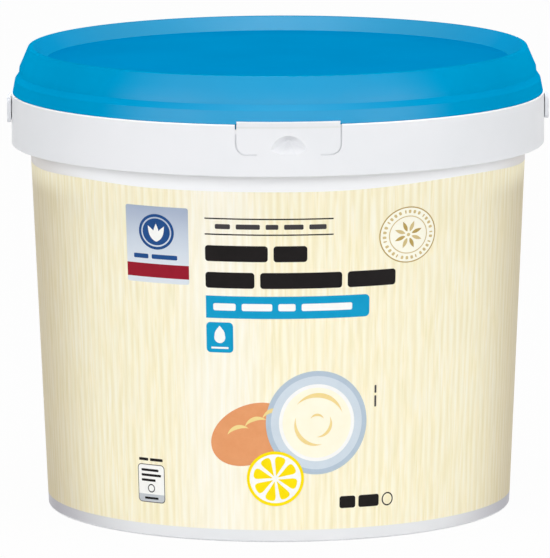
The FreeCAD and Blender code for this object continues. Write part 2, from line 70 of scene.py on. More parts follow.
GRAIN = 4.7  # from one line of the film's wood-like print to the next
WAVER = 1.2  # how far those lines wander, in spaces between them
HIGHLIGHT_BAND_AT = -36.0  # middle of the film's painted highlight band, along the wall
HIGHLIGHT_BAND = (4.0, 32.0)  # from its middle, the band is whole up to here and gone by here
HIGHLIGHT_SHARE = 0.36
SIDE_SHADE_FULL = 178.0  # along the wall to either side, where the painted side shade is at its darkest
SIDE_SHADE_BACK = (225.0, 345.0)  # where that starts to clear again, and where it has
SIDE_SHADE_CLEARED = 0.85  # how much of it clears
FILM_SHADE = (171.0, 185.0)  # up the wall, where the film's painted side shade starts to fade and has faded
FILM_DEPTH = 0.3  # how far the film's edges reach into the wall
FILM_SIDES = 288  # flat sides of the film, each as wide as the ink can bridge
HEAD_STRIP = 4.0  # the film's uppermost strip, which may stand askew over its bed
HEAD_LIFT = 0.06  # how far its edge stands off the wall
HEAD_RISES = ((15.0, 180.0, 2.6), (-170.0, 100.0, 0.9))  # from where along the wall, how long, how high
SILVER_FADE = (147.0, 179.0)  # up the wall, foot and head of the silver's fade
AROUND = 130.0  # radius at which distances along the wall are measured
STRIP = 2.0  # widest piece of a print that stays flat on the curved wall
LIFT = 0.04  # how far the first layer of ink stands off the film
LAYER = 0.02  # between one layer of ink and the next

FLOW_CLOUD = 55.6  # faint clouds where the plastic flowed into its mould
HANDLED = 16.7  # patches that handling left a little brighter or duller
PEEL = 1.11  # orange peel, about twice as coarse as the real one, so that it shows
SKIN = 1.43  # grain of the film and its inks, several times as coarse as the real one, to show
MOTTLE = 7.1  # patches of thicker and thinner ink
SILVER_CLOUD = 11.1  # unevenness in the silver's fade
FLOOR_CLOUD = 500.0

SMOOTH_ANGLE = math.radians(35)
TURNED = 0.04  # a face leaning sideways by less than this belongs to a turned surface
MERGE = 1e-6  # points nearer than this are one, in metres

# Sockets of a Mix node that mixes colours: its share, the two colours and what comes out
SHARE, UNDER, OVER, MIXED = 0, 6, 7, 2

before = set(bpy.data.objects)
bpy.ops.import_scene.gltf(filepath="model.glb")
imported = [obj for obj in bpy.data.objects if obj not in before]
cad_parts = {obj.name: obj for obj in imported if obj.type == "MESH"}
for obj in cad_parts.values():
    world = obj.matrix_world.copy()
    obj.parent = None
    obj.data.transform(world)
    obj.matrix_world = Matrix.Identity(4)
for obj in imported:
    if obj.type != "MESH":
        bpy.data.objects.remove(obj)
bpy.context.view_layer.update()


# ---------------------------------------------------------------- colours and shader nodes


def linear(code):
    """A colour written as sRGB hex, as the linear values that a shader takes."""
    out = []
    for start in (0, 2, 4):
        level = int(code[start:start + 2], 16) / 255
        out.append(level / 12.92 if level <= 0.04045 else ((level + 0.055) / 1.055) ** 2.4)
    return (*out, 1.0)


def connect(made, inputs):
    """Sets inputs of a node to values, or links them to other nodes' outputs."""
    for name, value in inputs.items():
        if isinstance(value, bpy.types.NodeSocket):
            made.id_data.links.new(value, made.inputs[name])
        else:
            made.inputs[name].default_value = value


def add(tree, kind, inputs, stops=(), **settings):
    """Adds a shader node with its settings, its inputs and, for a colour ramp, its stops of a place
    and a hex colour. Returns the node's outputs."""
    made = tree.nodes.new("ShaderNode" + kind)
    for name, value in settings.items():
        setattr(made, name, value)
    connect(made, inputs)
    if stops:
        elements = made.color_ramp.elements
        while len(elements) < len(stops):
            elements.new(0.5)
        for element, (place, code) in zip(elements, stops):
            element.position = place
            element.color = linear(code)
    return made.outputs


def new_material(name):
    """A material with its node tree, its shader and the place on the object, in metres."""
    made = bpy.data.materials.new(name)
    made.use_nodes = True
    tree = made.node_tree
    return made, tree, tree.nodes["Principled BSDF"], add(tree, "TexCoord", {})["Object"]


def around_wall(tree, place):
    """Distances along and up the wall, in millimetres."""
    split = add(tree, "SeparateXYZ", {"Vector": place})
    forward = add(tree, "Math", {0: split["Y"], 1: -1.0}, operation="MULTIPLY")[0]
    turn = add(tree, "Math", {0: split["X"], 1: forward}, operation="ARCTAN2")[0]
    along = add(tree, "Math", {0: turn, 1: AROUND}, operation="MULTIPLY")[0]
    up = add(tree, "Math", {0: split["Z"], 1: MM}, operation="DIVIDE")[0]
    return along, up


def aside_share(tree, along, *steps):
    """A share that changes softly with the distance to either side of the front's middle: each step
    adds its level between its two distances."""
    aside = add(tree, "Math", {0: along}, operation="ABSOLUTE")[0]
    share = 0.0
    for first, last, level in steps:
        inputs = {"Value": aside, "From Min": first, "From Max": last, "To Max": level}
        step = add(tree, "MapRange", inputs, interpolation_type="SMOOTHSTEP")["Result"]
        share = add(tree, "Math", {0: share, 1: step}, operation="ADD")[0]
    return share


def painted_side_shade(tree, along, colour, start=105.0, shade="E2DDD8", kept=1.0):
    """Takes a colour down a little towards the sides of the wall, and less so round its back: painted
    shade, where the light falls off round the sides. kept is how much of this painted shade is left,
    over a part of the wall."""
    share = aside_share(tree, along, (start, SIDE_SHADE_FULL, 1.0), (*SIDE_SHADE_BACK, -SIDE_SHADE_CLEARED))
    share = add(tree, "Math", {0: share, 1: kept}, operation="MULTIPLY")[0]
    inputs = {SHARE: share, UNDER: linear("FFFFFF"), OVER: linear(shade)}
    side_shade_colour = add(tree, "Mix", inputs, data_type="RGBA")[MIXED]
    inputs = {SHARE: 1.0, UNDER: colour, OVER: side_shade_colour}
    return add(tree, "Mix", inputs, data_type="RGBA", blend_type="MULTIPLY")[MIXED]


def rim_highlight_and_crease_shade(tree, place, even):
    """Paints a highlight on the thin upper edge of the collar and of the tamper tab's lip, whitening it,
    and paints a faint shade along the crease across the tab under its lip."""
    split = add(tree, "SeparateXYZ", {"Vector": place})
    aside = add(tree, "Math", {0: split["X"]}, operation="ABSOLUTE")[0]
    near = add(tree, "Math", {0: aside, 1: TAB_SIDE * MM}, operation="LESS_THAN")[0]
    in_front = add(tree, "Math", {0: split["Y"], 1: 0.0}, operation="LESS_THAN")[0]
    on_tab = add(tree, "Math", {0: near, 1: in_front}, operation="MULTIPLY")[0]
    off = add(tree, "Math", {0: split["Z"], 1: CREASE * MM}, operation="SUBTRACT")[0]
    off = add(tree, "Math", {0: off}, operation="ABSOLUTE")[0]
    edge = add(tree, "Math", {0: on_tab, 1: TAB_RISE * MM, 2: RIM * MM}, operation="MULTIPLY_ADD")[0]
    under = add(tree, "Math", {0: edge, 1: split["Z"]}, operation="SUBTRACT")[0]
    # E2E4E3 is a painted shade along the tab's crease, FFFFFF a painted highlight along the upper edges
    for distance, (whole, gone), where, code in ((off, CREASE_SHADE_EDGE, on_tab, "E2E4E3"),
                                                 (under, RIM_HIGHLIGHT_EDGE, 1.0, "FFFFFF")):
        inputs = {"Value": distance, "From Min": whole * MM, "From Max": gone * MM, "To Min": 1.0,
                  "To Max": 0.0}
        share = add(tree, "MapRange", inputs)["Result"]
        share = add(tree, "Math", {0: share, 1: where}, operation="MULTIPLY")[0]
        inputs = {SHARE: share, UNDER: even, OVER: linear(code)}
        even = add(tree, "Mix", inputs, data_type="RGBA")[MIXED]
    return even


def wall_painted_light_and_shade(tree, place, even):
    """The bare wall between the film and the collar is painted a little whiter than the rest: painted
    light where the collar's shade falls. The wall and, more so, the foot under the film are painted
    duller towards their sides: painted shade."""
    along, up = around_wall(tree, place)
    inputs = {"Value": up, "From Min": STRIP_PAINTED_LIGHT[0], "From Max": STRIP_PAINTED_LIGHT[1]}
    share = add(tree, "MapRange", inputs)["Result"]
    # FAFBFD is painted light on the bare strip in the collar's shade
    inputs = {SHARE: share, UNDER: even, OVER: linear("FAFBFD")}
    painted_whiter = add(tree, "Mix", inputs, data_type="RGBA")[MIXED]
    # The foot takes a darker painted side shade, C9C6CC, and the wall above it a lighter one
    low = add(tree, "Math", {0: up, 1: FOOT_TOP}, operation="LESS_THAN")[0]
    inputs = {SHARE: low, UNDER: painted_side_shade(tree, along, painted_whiter),
              OVER: painted_side_shade(tree, along, even, 85.0, "C9C6CC")}
    return add(tree, "Mix", inputs, data_type="RGBA")[MIXED]


def lid_sides_painted_light(tree, place, even):
    """The blue is painted a shade clearer at the sides of the lid, fading again round its back: painted
    light.
    """
    along, _ = around_wall(tree, place)
    share = aside_share(tree, along, (*LID_LIGHT_SIDES, 1.0), (*LID_LIGHT_BACK, -1.0))
    # 00A3D9 is painted light on the lid's sides
    inputs = {SHARE: share, UNDER: even, OVER: linear("00A3D9")}
    return add(tree, "Mix", inputs, data_type="RGBA")[MIXED]


def inner_slope_painted_reflection(tree, place, even):
    """The slope down to the panel is painted a paler blue round the back: a painted reflection."""
    along, _ = around_wall(tree, place)
    share = aside_share(tree, along, (*SLOPE_REFLECTION_BACK, 1.0))
    # 309CC8 is a painted reflection round the back of the slope
    inputs = {SHARE: share, UNDER: even, OVER: linear("309CC8")}
    return add(tree, "Mix", inputs, data_type="RGBA")[MIXED]


def moulded_plastic(name, code, shade, roughness, peel, specular, paint=None, matt_edges=None):
    """Injection moulded polypropylene: an even colour with faint flow clouds, an orange peel of some
    depth in its gloss, and a little unevenness in the shine where it was handled. The fine grain of
    the surface takes the shine from what is seen aslant, between the two shares of matt_edges."""
    made, tree, shader, place = new_material(name)
    inputs = {"Vector": place, "Scale": 1 / (FLOW_CLOUD * MM), "Detail": 3.0}
    clouds = add(tree, "TexNoise", inputs)["Fac"]
    even = add(tree, "ValToRGB", {"Fac": clouds}, [(0.35, shade), (0.65, code)])["Color"]
    if paint:
        even = paint(tree, place, even)
    inputs = {"Vector": place, "Scale": 1 / (HANDLED * MM), "Detail": 4.0, "Roughness": 0.6}
    handled = add(tree, "TexNoise", inputs)["Fac"]
    inputs = {"Value": handled, "From Min": 0.3, "From Max": 0.7, "To Min": roughness - 0.04,
              "To Max": roughness + 0.05}
    shine = add(tree, "MapRange", inputs)["Result"]
    grain = add(tree, "TexNoise", {"Vector": place, "Scale": 1 / (PEEL * MM)})["Fac"]
    relief = add(tree, "Bump", {"Height": grain, "Distance": peel * MM, "Strength": 1.0})["Normal"]
    connect(shader, {"Base Color": even, "Roughness": shine, "Normal": relief,
                     "Specular IOR Level": specular})
    if matt_edges:
        aslant = add(tree, "LayerWeight", {"Blend": 0.5})["Facing"]
        inputs = {"Value": aslant, "From Min": matt_edges[0], "From Max": matt_edges[1],
                  "To Min": specular, "To Max": 0.0}
        gloss = add(tree, "MapRange", inputs, interpolation_type="SMOOTHSTEP")["Result"]
        connect(shader, {"Specular IOR Level": gloss})
    return made


def streak(tree, along, up, width, length, shift):
    """Upright streaks of about a width and a length in millimetres."""
    across = add(tree, "Math", {0: along, 1: width}, operation="DIVIDE")[0]
    drawn = add(tree, "Math", {0: up, 1: length}, operation="DIVIDE")[0]
    vector = add(tree, "CombineXYZ", {"X": across, "Y": drawn, "Z": shift})["Vector"]
    inputs = {"Vector": vector, "Scale": 1.0, "Detail": 1.5, "Roughness": 0.45}
    return add(tree, "TexNoise", inputs)["Fac"]


def satin_skin(tree, place):
    """The faint relief of the film's satin skin, which the ink takes on too."""
    grain = add(tree, "TexNoise", {"Vector": place, "Scale": 1 / (SKIN * MM)})["Fac"]
    return add(tree, "Bump", {"Height": grain, "Distance": 0.02 * MM, "Strength": 1.0})["Normal"]


def painted_highlight_band(tree, along):
    """How far the print is mixed towards white as a painted highlight: a broad soft band left of the
    middle of the front.
    """
    off = add(tree, "Math", {0: along, 1: HIGHLIGHT_BAND_AT}, operation="SUBTRACT")[0]
    off = add(tree, "Math", {0: off}, operation="ABSOLUTE")[0]
    inputs = {"Value": off, "From Min": HIGHLIGHT_BAND[0], "From Max": HIGHLIGHT_BAND[1], "To Min": HIGHLIGHT_SHARE,
              "To Max": 0.0}
    return add(tree, "MapRange", inputs, interpolation_type="SMOOTHSTEP")["Result"]


def wood_print(tree, along, up):
    """Cream streaks like the grain of bleached wood: wandering lines and loose streaks, one over the
    other by patches, under broad faint clouds."""
    wander = streak(tree, along, up, 9.0, 85.0, 7.0)
    moved = add(tree, "Math", {0: wander, 1: WAVER * GRAIN, 2: along}, operation="MULTIPLY_ADD")[0]
    turns = add(tree, "Math", {0: moved, 1: 2 * math.pi / GRAIN}, operation="MULTIPLY")[0]
    wave = add(tree, "Math", {0: turns}, operation="SINE")[0]
    lines = add(tree, "Math", {0: wave, 1: 0.5, 2: 0.5}, operation="MULTIPLY_ADD")[0]
    tones = []
    for factor, stops in (
            (lines, [(0.05, "F4EAC4"), (0.95, "FFFBE4")]),
            (streak(tree, along, up, 1.1, 20.0, 0.0),
             [(0.36, "F2E9BF"), (0.50, "FFF5D3"), (0.64, "FFFBE9")]),
            (streak(tree, along, up, 2.2, 30.0, 11.0),
             [(0.38, "F3EAC1"), (0.50, "FFF5D3"), (0.62, "FFFBE8")]),
            (streak(tree, along, up, 11.0, 60.0, 5.0), [(0.35, "FCF1CA"), (0.65, "FFF7DE")])):
        tones.append(add(tree, "ValToRGB", {"Fac": factor}, stops)["Color"])
    lined, fine, middling, cloudy = tones
    inputs = {"Value": streak(tree, along, up, 4.5, 24.0, 3.0), "From Min": 0.38, "From Max": 0.62,
              "To Min": 0.1, "To Max": 0.7}
    patches = add(tree, "MapRange", inputs)["Result"]
    cream = fine
    for share, over in ((0.5, middling), (patches, lined), (0.12, cloudy)):
        inputs = {SHARE: share, UNDER: cream, OVER: over}
        cream = add(tree, "Mix", inputs, data_type="RGBA")[MIXED]
    return cream


def printed_film(name):
    """Polypropylene film, moulded on with the wall: a cream print with a painted highlight in a band and
    painted shade towards the sides, under a satin skin that has next to no highlight."""
    made, tree, shader, place = new_material(name)
    along, up = around_wall(tree, place)
    # The print is mixed towards white in a band: a painted highlight
    inputs = {SHARE: painted_highlight_band(tree, along), UNDER: wood_print(tree, along, up),
              OVER: linear("FFFFFF")}
    cream = add(tree, "Mix", inputs, data_type="RGBA")[MIXED]
    inputs = {"Value": up, "From Min": FILM_SHADE[0], "From Max": FILM_SHADE[1], "To Min": 1.0,
              "To Max": 0.0}
    under_head = add(tree, "MapRange", inputs, interpolation_type="SMOOTHSTEP")["Result"]
    connect(shader, {"Base Color": painted_side_shade(tree, along, cream, kept=under_head),
                     "Normal": satin_skin(tree, place), "Roughness": 0.55, "Specular IOR Level": 0.12})
    return made


def ink(name, code, shade, roughness=0.4):
    """Printing ink on the film, flat in colour and a little mottled where it was laid down."""
    made, tree, shader, place = new_material(name)
    inputs = {"Vector": place, "Scale": 1 / (MOTTLE * MM), "Detail": 4.0, "Roughness": 0.65}
    laid = add(tree, "TexNoise", inputs)["Fac"]
    colour = add(tree, "ValToRGB", {"Fac": laid}, [(0.3, shade), (0.7, code)])["Color"]
    connect(shader, {"Base Color": colour, "Normal": satin_skin(tree, place), "Roughness": roughness,
                     "Specular IOR Level": 0.12})
    return made


def silver_ink(name):
    """Silver ink printed as a soft fade, pale at its foot and bluer at its head."""
    made, tree, shader, place = new_material(name)
    _, up = around_wall(tree, place)
    inputs = {"Vector": place, "Scale": 1 / (SILVER_CLOUD * MM), "Detail": 3.0}
    uneven = add(tree, "TexNoise", inputs)["Fac"]
    laid = add(tree, "Math", {0: uneven, 1: 5.0, 2: up}, operation="MULTIPLY_ADD")[0]
    inputs = {"Value": laid, "From Min": SILVER_FADE[0], "From Max": SILVER_FADE[1]}
    share = add(tree, "MapRange", inputs)["Result"]
    stops = [(0.0, "DDE4EC"), (0.45, "CBD5E2"), (1.0, "A4B1C9")]
    fade = add(tree, "ValToRGB", {"Fac": share}, stops)["Color"]
    connect(shader, {"Base Color": fade, "Roughness": 0.35, "Specular IOR Level": 0.3})
    return made


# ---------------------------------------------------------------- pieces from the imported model


def around_axis(point):
    """Unit vectors outwards and sideways at a point's place round the bucket's axis."""
    reach = math.hypot(point.x, point.y)
    if reach < MERGE:
        return Vector((1, 0, 0)), Vector((0, 1, 0))
    out = Vector((point.x / reach, point.y / reach, 0))
    return out, Vector((-out.y, out.x, 0))


def set_turned_normals(mesh):
    """Gives every corner the true normal of the turned surface it lies on, and smooths the rest."""
    lean = []
    turned = []
    for face in mesh.polygons:
        out, side = around_axis(face.center)
        turned.append(abs(face.normal.dot(side)) < TURNED)
        lean.append((face.normal.dot(out), face.normal.z))
    touching = [[] for _ in mesh.vertices]
    for face in mesh.polygons:
        for vertex in face.vertices:
            touching[vertex].append(face.index)

    def normal_at(index, out):
        """The normal of a face's own surface, at a place that lies outwards of the axis by out."""
        if turned[index]:
            return out * lean[index][0] + Vector((0, 0, lean[index][1]))
        return mesh.polygons[index].normal

    limit = math.cos(SMOOTH_ANGLE)
    normals = []
    for face in mesh.polygons:
        for vertex in face.vertices:
            out, _ = around_axis(mesh.vertices[vertex].co)
            own = normal_at(face.index, out)
            total = Vector((0, 0, 0))
            for other in touching[vertex]:
                normal = normal_at(other, out)
                if turned[other] == turned[face.index] and normal.dot(own) > limit:
                    total += normal * mesh.polygons[other].area
            normals.append(total.normalized() if total.length else face.normal.copy())
    mesh.polygons.foreach_set("use_smooth", [True] * len(mesh.polygons))
    mesh.normals_split_custom_set(normals)


def finish_piece(bm, name, materials):
    """Turns a bmesh into an object of the model that rides on its one body."""
    mesh = bpy.data.meshes.new(name)
    bm.to_mesh(mesh)
    bm.free()
    for made in materials:
        mesh.materials.append(made)
    set_turned_normals(mesh)
    piece = bpy.data.objects.new(name, mesh)
    bpy.context.scene.collection.objects.link(piece)
    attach(piece, "root")
    return piece


def smooth_copy(node_name, name, materials, pick=None):
    """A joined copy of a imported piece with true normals. pick gives each face its material's place."""
    bm = bmesh.new()
    bm.from_mesh(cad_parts[node_name].data)
    bmesh.ops.remove_doubles(bm, verts=bm.verts, dist=MERGE)
    for face in bm.faces:
        face.material_index = pick(face) if pick else 0
    piece = finish_piece(bm, name, materials)
    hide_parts(node_name)
    return piece


# ---------------------------------------------------------------- the film and its print

film_low, film_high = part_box("label")


def read_wall():
    """Outside radius, in millimetres, of the film at its foot and at its head."""
    foot = head = 0.0
    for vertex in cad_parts["label"].data.vertices:
        reach = math.hypot(vertex.co.x, vertex.co.y) / MM
        if vertex.co.z - film_low.z < MM:
            foot = max(foot, reach)
        elif film_high.z - vertex.co.z < MM:
            head = max(head, reach)
    return foot, head


WALL_FOOT, WALL_HEAD = read_wall()


def on_wall(along, up, lift):
    """The point of the wall at a distance along and up it, lift off its surface, in metres."""
    share = (up * MM - film_low.z) / (film_high.z - film_low.z)
    reach = (WALL_FOOT + (WALL_HEAD - WALL_FOOT) * share + lift) * MM
    turn = along / AROUND
    return Vector((reach * math.sin(turn), -reach * math.cos(turn), up * MM))


def film_head(along):
    """How far the film's head stands above its bed, in millimetres. The film was put on a little
    askew, so it stands higher to both sides of the front, most of all to the right."""
    rise = 0.0
    for start, length, most in HEAD_RISES:
        share = (along - start) / length
        if 0 < share < 1:
            rise += most * math.sin(math.pi * share) ** 2
    return rise


def add_film():
    """The film: the profile of its outside and its two edges, spun from the middle of the back in
    sides fine enough to carry the ink, and raised along its head."""
    low = film_low.z / MM
    high = film_high.z / MM
    profile = ((low, -FILM_DEPTH), (low, 0), (high - HEAD_STRIP, 0), (high, HEAD_LIFT),
               (high, -FILM_DEPTH))
    bm = bmesh.new()
    points = [bm.verts.new(on_wall(-math.pi * AROUND, up, lift)) for up, lift in profile]
    lines = [bm.edges.new(pair) for pair in zip(points, points[1:])]
    bmesh.ops.spin(bm, geom=points + lines, cent=(0, 0, 0), axis=(0, 0, 1), angle=2 * math.pi,
                   steps=FILM_SIDES, use_merge=True)
    bmesh.ops.recalc_face_normals(bm, faces=bm.faces[:])
    for vertex in bm.verts:
        if film_high.z - vertex.co.z < MERGE:
            along = AROUND * math.atan2(vertex.co.x, -vertex.co.y)
            vertex.co += on_wall(along, high + film_head(along), 0) - on_wall(along, high, 0)
    piece = finish_piece(bm, "film_sleeve", [cream_film])
    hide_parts("label")


def flat_face(points):
    """A flat face through points of the wall, before it is laid on the wall."""
    flat = bmesh.new()
    flat.faces.new([flat.verts.new((along, up, 0)) for along, up in points])
    return flat


def rounded_box(left, low, right, high, radius=0.0, rounded=(0, 1, 2, 3)):
    """An upright box. rounded tells which of its corners are rounded, from the lower left one round
    to the upper left one."""
    flat = flat_face([(left, low), (right, low), (right, high), (left, high)])
    if radius:
        flat.verts.ensure_lookup_table()
        bmesh.ops.bevel(flat, geom=[flat.verts[corner] for corner in rounded], offset=radius,
                        offset_type="OFFSET", segments=6, profile=0.5, affect="VERTICES", material=-1)
    return flat


def oval(along, up, half_width, half_height, tilt=0.0, band=0.0, steps=64):
    """An ellipse, tilted by some degrees, or only a band of some width along its edge."""
    flat = bmesh.new()
    leaning = Matrix.Translation((along, up, 0)) @ Matrix.Rotation(math.radians(tilt), 4, "Z")
    for inside in (0.0, band) if band else (0.0,):
        size = Matrix.Diagonal((half_width - inside, half_height - inside, 1, 1))
        bmesh.ops.create_circle(flat, cap_ends=not band, segments=steps, radius=1,
                                matrix=leaning @ size)
    if band:
        bmesh.ops.bridge_loops(flat, edges=flat.edges[:])
    return flat


def wedge(along, up, inner, outer, start, sweep):
    """A slice of a round, between two radii, with its corners eased and its sides a little bowed."""
    squareness = 0.6
    bow = 0.35
    steps = 24
    points = []
    middle = (inner + outer) / 2
    half = (outer - inner) / 2
    for step in range(steps):
        turn = 2 * math.pi * step / steps
        radial, sideways = (math.copysign(abs(part) ** squareness, part)
                            for part in (math.cos(turn), math.sin(turn)))
        reach = middle + half * radial
        angle = math.radians(start + sweep / 2 * (1 + (reach / outer) ** bow * sideways))
        points.append((along + reach * math.cos(angle), up + reach * math.sin(angle)))
    return flat_face(points)


def crescent(along, up, radius, thickness, start, end):
    """A stroke along an arc, thick in its middle and pointed at its ends."""
    outside = []
    inside = []
    steps = 20
    for step in range(steps + 1):
        share = step / steps
        turn = math.radians(start + (end - start) * share)
        half = thickness / 2 * math.sin(math.pi * share)
        for edge, reach in ((outside, radius + half), (inside, radius - half)):
            edge.append((along + reach * math.cos(turn), up + reach * math.sin(turn)))
    return flat_face(outside + inside[-2:0:-1])


def petal(along, up, length, width, turn):
    """A leaf from its foot outwards, at an angle in degrees, widest a little short of its middle."""
    lean = math.radians(turn)
    swell = 0.85
    steps = 12
    points = []
    for step in (*range(-steps, 0), *range(steps, 0, -1)):
        side = math.copysign(1, step)
        share = (step + steps) / steps if side < 0 else step / steps
        half = side * width / 2 * math.sin(math.pi * share ** swell)
        points.append((along + length * share * math.cos(lean) - half * math.sin(lean),
                       up + length * share * math.sin(lean) + half * math.cos(lean)))
    return flat_face(points)


class Print:
    """Flat shapes in ink, laid in layers on the curved wall and made into one piece."""

    def __init__(self, name, *inks):
        self.name = name
        self.inks = inks
        self.bm = bmesh.new()

    def lay(self, flat, ink_number=0, layer=0):
        """Cuts a flat shape into upright strips, wraps it on the wall and joins it to the rest."""
        flat.normal_update()
        bmesh.ops.triangulate(flat, faces=flat.faces[:])
        across = [vertex.co.x for vertex in flat.verts]
        for number in range(math.ceil(min(across) / STRIP), math.ceil(max(across) / STRIP)):
            geometry = flat.verts[:] + flat.edges[:] + flat.faces[:]
            bmesh.ops.bisect_plane(flat, geom=geometry, dist=1e-5, plane_co=(number * STRIP, 0, 0),
                                   plane_no=(1, 0, 0))
        flat.normal_update()
        bmesh.ops.reverse_faces(flat, faces=[face for face in flat.faces if face.normal.z < 0])
        for face in flat.faces:
            face.material_index = ink_number
        for vertex in flat.verts:
            vertex.co = on_wall(vertex.co.x, vertex.co.y, LIFT + LAYER * layer)
        sheet = bpy.data.meshes.new("sheet")
        flat.to_mesh(sheet)
        flat.free()
        self.bm.from_mesh(sheet)
        bpy.data.meshes.remove(sheet)

    def bars(self, left, low, high, widths, gap, ink_number=0, layer=0, corner=0.25):
        """A line of plain bars in place of words."""
        for width in widths:
            radius = min(width, high - low) * corner
            self.lay(rounded_box(left, low, left + width, high, radius), ink_number, layer)
            left += width + gap

    def done(self):
        finish_piece(self.bm, self.name, self.inks)


# ---------------------------------------------------------------- materials

# White polypropylene, moulded in a polished tool: milky, satin, with soft broad highlights, a painted
# highlight along its upper edges and a painted shade in the tab's crease
white_pp = moulded_plastic("white_polypropylene", "EBECEF", "E7E9EC", 0.36, 0.012, 0.3, rim_highlight_and_crease_shade)
# The same on the wall and the foot, which stand in under the collar: its shine is fainter, with painted
# light on the strip under the collar and painted shade at the sides
white_pp_wall = moulded_plastic("white_polypropylene_wall", "EBECEF", "E7E9EC", 0.36, 0.012, 0.2,
                                wall_painted_light_and_shade)
# White polypropylene of the strap: a duller moulding with a stronger orange peel
strap_pp = moulded_plastic("white_polypropylene_strap", "E6E8EC", "E2E4E8", 0.42, 0.02, 0.4)
# Blue polypropylene: a deep blue, painted clearer at the sides as painted light, with one broad pale
# highlight down the front
blue_pp = moulded_plastic("blue_polypropylene", "0096C9", "0093C6", 0.42, 0.012, 0.46, lid_sides_painted_light,
                          matt_edges=(0.05, 0.26))
# The same where it slopes down to the panel, but a lighter blue as painted light, paler still round the
# back as a painted reflection: less shine, and none where it is seen aslant
blue_pp_inside = moulded_plastic("blue_polypropylene_inside", "10A1D5", "0F9ED2", 0.42, 0.012, 0.3,
                                 inner_slope_painted_reflection, matt_edges=(0.1, 0.65))
# Blue polypropylene from an etched part of the tool: flat and matt, with no highlight
blue_pp_panel = moulded_plastic("blue_polypropylene_etched", "0094D0", "0090CC", 0.6, 0.02, 0.0)
cream_film = printed_film("cream_printed_film")
# Gravure inks: thin, flat colours that dull the film's skin hardly at all
ink_dark = ink("ink_charcoal", "1B1717", "151212")
ink_grey = ink("ink_grey", "454244", "3E3B3D")
ink_blue = ink("ink_blue", "0A9FCE", "0799C8")
ink_white = ink("ink_white", "FCFCFA", "F7F7F4")
ink_silver = silver_ink("ink_silver")
ink_pale_grey = ink("ink_pale_grey", "C9CDD2", "BEC3C9")
ink_red = ink("ink_dark_red", "9C152B", "921227")
ink_slate = ink("ink_slate_blue", "21508F", "1B4884")
ink_gold = ink("ink_gold", "C0A45C", "B59A52", 0.35)
ink_pale_gold = ink("ink_pale_gold", "D9C48C", "CFB97F", 0.35)
ink_ivory = ink("ink_ivory", "FFFDEE", "FFFBE8", 0.35)
ink_dish = ink("ink_dish_blue_grey", "B9C9D8", "B2C3D3")
ink_dish_light = ink("ink_dish_pale", "D3DEE8", "CDD9E4")
ink_cream = ink("ink_mayonnaise", "FFFBE6", "FDF8DF")
ink_swirl = ink("ink_swirl", "F6DE9A", "F2D88F")
ink_crust = ink("ink_crust", "E9A16F", "E49A67")
ink_yellow = ink("ink_yellow", "FFE500", "FBDF00")


# ---------------------------------------------------------------- the bucket's pieces

_, lid_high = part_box("lid")


def lid_face(face):
    """The lid's sunk panel has an etched finish, and the rest of it a satin one, which is dullest on
    the slope down to the panel."""
    middle = face.calc_center_median()
    out, _ = around_axis(middle)
    depth = (lid_high.z - middle.z) / MM
    if face.normal.z > PANEL_LEVEL and depth > PANEL_DROP:
        return 1
    return 2 if face.normal.dot(out) < INWARD and depth < PANEL_BAND else 0


def container_face(face):
    """The wall and the foot are apart from the collar and its web."""
    middle = face.calc_center_median()
    reach = math.hypot(middle.x, middle.y) / MM
    over_film = (middle.z - film_high.z) / MM
    return 1 if abs(face.normal.z) < STEEP and over_film < WALL_TOP and reach < WALL_REACH else 0


container = smooth_copy("bucket", "container_shell", [white_pp, white_pp_wall], container_face)
lid = smooth_copy("lid", "lid_shell", [blue_pp, blue_pp_panel, blue_pp_inside], lid_face)
strap = smooth_copy("handle", "strap_handle", [strap_pp])
add_film()


# ---------------------------------------------------------------- the print


def print_badge():
    """A plain silver panel with a roundel over short bars, and a dark red band across its foot."""
    badge = Print("print_badge", ink_silver, ink_red, ink_slate, ink_white)
    left, right = -89.5, -52.5
    middle = (left + right) / 2
    badge.lay(rounded_box(left, 135.6, right, 176.0, 1.2), 0)
    badge.lay(rounded_box(left, 138.4, right, 145.6), 1, 1)
    badge.lay(oval(middle, 162.6, 10.4, 9.4), 2, 1)
    badge.lay(oval(middle, 162.6, 8.9, 7.9, band=0.8), 0, 2)
    for turn, layer in ((60.0, 3), (120.0, 3), (90.0, 4)):
        badge.lay(petal(middle, 157.4, 9.6, 3.4, turn), 3, layer)
    badge.bars(-85.0, 148.2, 150.6, [9.0, 15.0], 2.0, 2, 1)
    badge.done()


def print_title():
    """Two thin rules round a line of small bars, and two lines of heavy bars."""
    title = Print("print_title", ink_dark, ink_grey)
    left = -43.5
    for low in (162.7, 171.0):
        title.lay(rounded_box(left, low, 23.7, low + 0.7))
    title.bars(-38.0, 165.9, 168.5, [8.0, 12.5, 6.5, 10.0, 9.0], 3.0, 1)
    for low, widths in ((148.8, [33.0, 17.5]), (134.7, [26.0, 43.0, 27.0])):
        title.bars(left, low, low + 8.4, widths, 3.0, corner=0.2)
    title.done()


def print_banner():
    """The blue field under the title, and the small blue square with a drop."""
    banner = Print("print_banner", ink_blue, ink_white)
    left = -43.5
    banner.lay(rounded_box(left, 118.8, 43.7, 130.6, 2.5, rounded=(1, 2)), 0)
    banner.bars(-39.5, 122.9, 126.7, [12.0, 16.0, 9.0, 27.0], 3.2, 1, 1)
    side = 14.5
    middle = left + side / 2
    banner.lay(rounded_box(left, 100.6, left + side, 116.6, 2.2), 0)
    banner.lay(oval(middle, 108.6, 3.0, 3.0, steps=24), 1, 1)
    banner.lay(petal(middle, 106.4, 8.4, 5.6, 90.0), 1, 2)
    banner.bars(middle - 4.65, 102.6, 103.6, [9.3], 0, 1, 1)
    banner.done()


